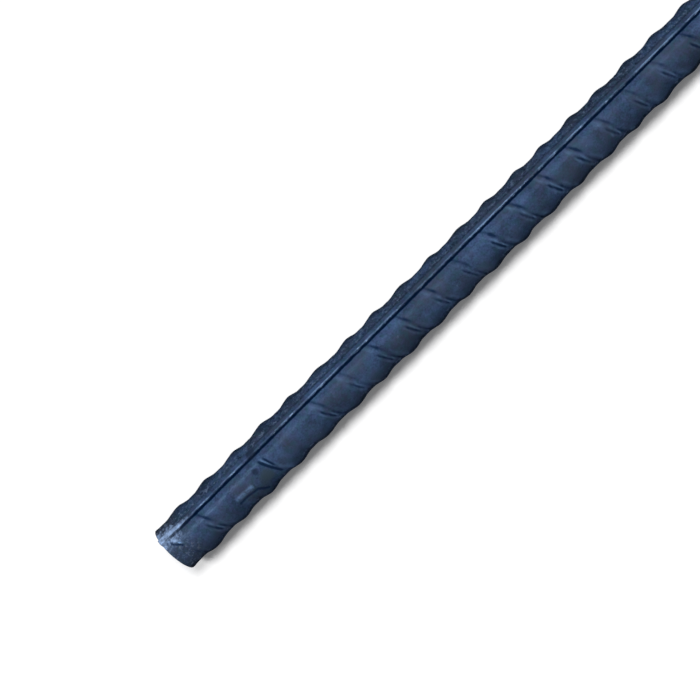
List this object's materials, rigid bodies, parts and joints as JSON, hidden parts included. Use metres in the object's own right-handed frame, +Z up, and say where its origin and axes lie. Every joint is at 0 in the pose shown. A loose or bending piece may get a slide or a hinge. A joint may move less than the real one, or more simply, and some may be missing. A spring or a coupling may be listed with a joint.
{
  "type": "deformed reinforcing bar",
  "caption": "Hot-rolled deformed steel reinforcing bar cut to a short stock length, with a round core, two longitudinal ribs and shear-cropped ends.",
  "frame": {"origin": "on the bar's axis, half way between its two cut faces, which is also the centre of its box", "axes": "+X along the bar; +Z up from the level floor that the bar lies on; +Y across it, towards the side that the upper longitudinal rib leans to"},
  "size_m": [0.6012, 0.0114, 0.0114],
  "materials": {
    "mill_scale_steel": "satin"
  },
  "bodies": {
    "root": {"deformed_bar": "mill_scale_steel"}
  },
  "joints": []
}
